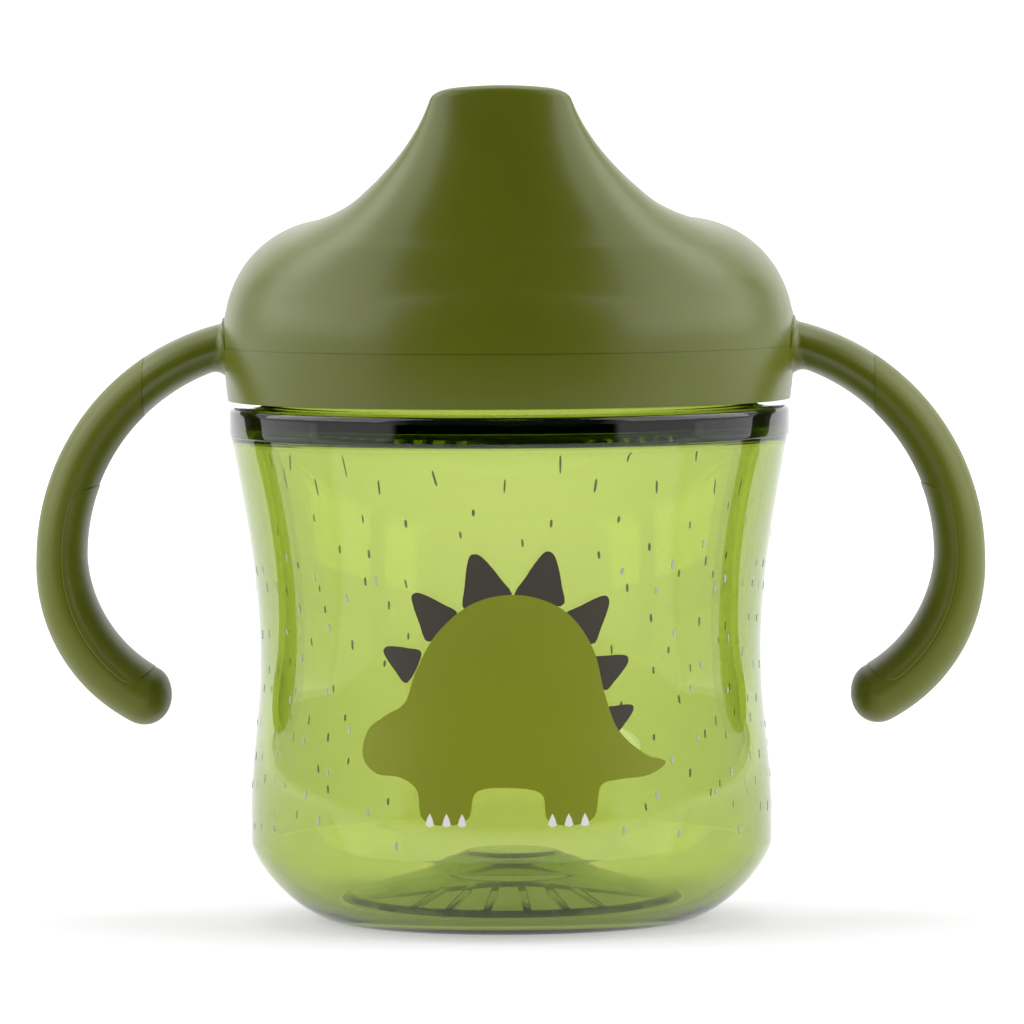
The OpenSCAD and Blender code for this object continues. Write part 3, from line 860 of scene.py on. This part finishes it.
def clear_plastic():
    """Tinted clear plastic whose colour comes from how far light travels in it."""
    material, tree, shader = new_material("clear_green", Roughness=0.0, IOR=1.52)
    shader.inputs["Base Color"].default_value = (1, 1, 1, 1)
    shader.inputs["Transmission Weight"].default_value = 1.0
    absorb = tree.nodes.new("ShaderNodeVolumeAbsorption")
    absorb.inputs["Color"].default_value = (*CLEAR_GREEN, 1)
    absorb.inputs["Density"].default_value = CLEAR_DENSITY
    tree.links.new(absorb.outputs["Volume"], tree.nodes["Material Output"].inputs["Volume"])
    add_bump(tree, shader, noise(tree, 90, 2), 0.05, 0.0003)
    return material


def set_material(obj, material):
    obj.data.materials.clear()
    obj.data.materials.append(material)


# ---------------------------------------------------------------- studio

BACKDROP, ROOM, SIDE_WALL = 1.38, 0.06, 0.65
FLOOR_NEAR, FLOOR_FAR, FLOOR_GREY, POOL = 0.42, 0.95, 0.5, 1.5
# Each soft box: its name, its place, its width, its height and its brightness
SOFTBOXES = [("softbox_left", (-1.05, -0.12, 0.68), 1.7, 1.2, 2.2),
             ("softbox_right", (1.05, -0.12, 0.68), 1.7, 1.2, 2.2),
             ("softbox_top", (0, 0.1, 1.3), 0.9, 0.9, 1.8)]
LIGHT_TARGET = (0, 0, 0.05)
CAMERA_TURN, CAMERA_TILT, CAMERA_ROLL = -1.77, 2.9, 0.32
CAMERA_TARGET, CAMERA_DISTANCE, LENS = (0.29, 0, 54.76), 1.1512, 300.7


def ramp_node(tree, value, low, high, start, end):
    """A smooth ramp from start to end as the value goes from low to high."""
    node = tree.nodes.new("ShaderNodeMapRange")
    node.interpolation_type = "SMOOTHSTEP"
    for name, number in (("From Min", low), ("From Max", high), ("To Min", start), ("To Max", end)):
        node.inputs[name].default_value = number
    tree.links.new(value, node.inputs["Value"])
    return node.outputs["Result"]


def math_node(tree, operation, *values):
    """A Math node whose inputs are numbers or other nodes' outputs."""
    node = tree.nodes.new("ShaderNodeMath")
    node.operation = operation
    for socket, value in zip(node.inputs, values):
        if isinstance(value, float):
            socket.default_value = value
        else:
            tree.links.new(value, socket)
    return node.outputs[0]


def coordinates(tree, kind):
    """The vector of a texture coordinate, and its x, y and z."""
    vector = tree.nodes.new("ShaderNodeTexCoord").outputs[kind]
    split = tree.nodes.new("ShaderNodeSeparateXYZ")
    tree.links.new(vector, split.inputs[0])
    return vector, split.outputs["X"], split.outputs["Y"], split.outputs["Z"]


def seen_directly(tree):
    """1 for what the camera itself sees, 0 for what the object reflects or refracts."""
    return tree.nodes.new("ShaderNodeLightPath").outputs["Is Camera Ray"]


def make_floor():
    """A pale floor, with a pool of light near the object and at its sides in what the object reflects.

    In front of the pool a black flag keeps the far floor out of the object's reflections.
    """
    bpy.ops.mesh.primitive_circle_add(vertices=96, radius=6, fill_type="NGON")
    floor = bpy.context.object
    floor.name = "floor"
    material, tree, shader = new_material("floor_paper", Roughness=0.9, Specular_IOR_Level=0.0)
    shader.inputs["Emission Color"].default_value = (1, 1, 1, 1)
    place, x, y, _ = coordinates(tree, "Object")
    size = tree.nodes.new("ShaderNodeVectorMath")
    size.operation = "LENGTH"
    tree.links.new(place, size.inputs[0])
    pale = ramp_node(tree, size.outputs["Value"], 0.05, 1.4, FLOOR_NEAR, FLOOR_FAR)
    direct = seen_directly(tree)
    shown = math_node(tree, "MAXIMUM", direct, ramp_node(tree, y, -0.09, -0.03, 0, 1))
    sideways = math_node(tree, "ADD", math_node(tree, "ABSOLUTE", x), y)
    pool = math_node(tree, "MAXIMUM", ramp_node(tree, y, -0.35, -0.15, 0, POOL),
                     ramp_node(tree, sideways, -0.05, 0.12, 0, 1))
    pool = math_node(tree, "MULTIPLY", pool, ramp_node(tree, y, -0.07, -0.045, 1, 0))
    pool = math_node(tree, "MULTIPLY", pool, math_node(tree, "SUBTRACT", 1.0, direct))
    glow = math_node(tree, "MAXIMUM", math_node(tree, "MULTIPLY", pale, shown), pool)
    tree.links.new(glow, shader.inputs["Emission Strength"])
    tree.links.new(math_node(tree, "MULTIPLY", shown, FLOOR_GREY), shader.inputs["Base Color"])
    set_material(floor, material)


def area_light(name, place, width, height, radiance):
    """A soft box of the given brightness, facing the object."""
    data = bpy.data.lights.new(name, "AREA")
    data.shape = "RECTANGLE"
    data.size, data.size_y = width, height
    data.energy = radiance * math.pi * width * height
    lamp = bpy.data.objects.new(name, data)
    lamp.location = place
    way = Vector(LIGHT_TARGET) - Vector(place)
    lamp.rotation_euler = way.to_track_quat("-Z", "Y").to_euler()
    bpy.context.scene.collection.objects.link(lamp)


def make_world():
    """A white backdrop that sweeps up behind the object, low pale side walls, and a dark room in front.

    The camera itself sees white in every direction.
    """
    world = bpy.data.worlds.new("studio")
    bpy.context.scene.world = world
    world.use_nodes = True
    tree = world.node_tree
    _, x, y, z = coordinates(tree, "Generated")
    behind = ramp_node(tree, y, 0.72, 0.79, 0, 1)
    above = math_node(tree, "MULTIPLY", ramp_node(tree, z, 0.22, 0.5, 0, 1),
                      ramp_node(tree, y, -0.25, 0.2, 0, 1))
    beside = math_node(tree, "MULTIPLY", ramp_node(tree, z, 0.2, 0.4, SIDE_WALL, 0),
                       ramp_node(tree, math_node(tree, "ABSOLUTE", x), 0.6, 0.8, 0, 1))
    white = seen_directly(tree)
    for region in (behind, above, beside):
        white = math_node(tree, "MAXIMUM", white, region)
    level = math_node(tree, "ADD", math_node(tree, "MULTIPLY", white, BACKDROP - ROOM), ROOM)
    tree.links.new(level, tree.nodes["Background"].inputs["Color"])


def make_camera():
    """A long lens a little above the cup's middle, turned slightly to one side."""
    psi, phi, roll = map(math.radians, (CAMERA_TURN, CAMERA_TILT, CAMERA_ROLL))
    forward = Vector((math.sin(psi) * math.cos(phi), math.cos(psi) * math.cos(phi), -math.sin(phi)))
    right = Vector((math.cos(psi), -math.sin(psi), 0))
    up = right.cross(forward)
    side = math.cos(roll) * right - math.sin(roll) * up
    top = math.sin(roll) * right + math.cos(roll) * up
    data = bpy.data.cameras.new("camera")
    data.lens, data.sensor_width = LENS, 36
    camera = bpy.data.objects.new("camera", data)
    camera.matrix_world = Matrix((side, top, -forward)).transposed().to_4x4()
    camera.location = Vector(CAMERA_TARGET) * MM - CAMERA_DISTANCE * forward
    bpy.context.scene.collection.objects.link(camera)
    bpy.context.scene.camera = camera


# ---------------------------------------------------------------- putting it together


def put(obj, material, body, nodes=()):
    """Gives a piece its material and the body it rides on, and hides the CAD nodes it stands for."""
    set_material(obj, material)
    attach(obj, body)
    if nodes:
        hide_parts(*nodes)


def put_pair(right, left_name, material, part):
    """Puts a right-hand handle piece and its mirrored twin on the lid."""
    left = mirrored(right, left_name)
    put(right, material, "lid", [part + "_right"])
    put(left, material, "lid", [part + "_left"])


def dress_inner_pieces():
    """Materials of the four CAD pieces inside the lid."""
    silicone = plastic("silicone_white", SILICONE, 0.45, 1800, vary=0.02, Subsurface_Weight=0.2, IOR=1.41)
    natural = plastic("natural_white", NATURAL, 0.3, 1200, vary=0.02, IOR=1.5)
    for name, material in (("seal_ring", silicone), ("valve_holder", natural),
                           ("valve_membrane", silicone), ("vent_valve", silicone)):
        set_material(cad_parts[name], material)


def make_pieces():
    lid_plastic = plastic("lid_olive", OLIVE, 0.3, 1500, IOR=1.5, Specular_IOR_Level=0.42)
    soft_grip = plastic("soft_olive", SOFT_OLIVE, 0.42, 2200, bump=0.12, IOR=1.5, Specular_IOR_Level=0.32)
    soft_pad = plastic("pad_olive", PAD_OLIVE, 0.36, 2600, bump=0.12, IOR=1.5, Specular_IOR_Level=0.4)
    motif_ink = plastic("ink_olive", MOTIF, 0.5, 3000, vary=0.03, Specular_IOR_Level=0.25)
    plate_ink = plastic("ink_brown", PLATE, 0.5, 3000, vary=0.06, Specular_IOR_Level=0.25)
    pale_ink = plastic("ink_pale", PALE_INK, 0.6, 3000, vary=0.02, Specular_IOR_Level=0.3,
                       Transmission_Weight=0.45)
    white_ink = plastic("ink_white", WHITE_INK, 0.5, 3000, vary=0.02, Specular_IOR_Level=0.3)

    put(make_cup(), clear_plastic(), "cup", ["cup_body"])
    put(make_lid(), lid_plastic, "lid", ["lid_hood"])
    put_pair(sleeve(), "grip_sleeve_left", soft_grip, "grip")
    put_pair(pad(), "grip_pad_left_skin", soft_pad, "grip_pad")
    for print_layer, layer_ink in zip(make_prints(), (motif_ink, plate_ink, white_ink, pale_ink)):
        put(print_layer, layer_ink, "cup")
    dress_inner_pieces()


def set_light_paths():
    """Enough bounces for light to pass through every wall of the clear cup."""
    cycles = bpy.context.scene.cycles
    cycles.max_bounces = 24
    cycles.transmission_bounces = 20
    cycles.glossy_bounces = 8
    cycles.transparent_max_bounces = 16


make_pieces()
make_floor()
make_world()
for softbox in SOFTBOXES:
    area_light(*softbox)
make_camera()
bpy.context.scene.view_settings.view_transform = "Standard"
set_light_paths()
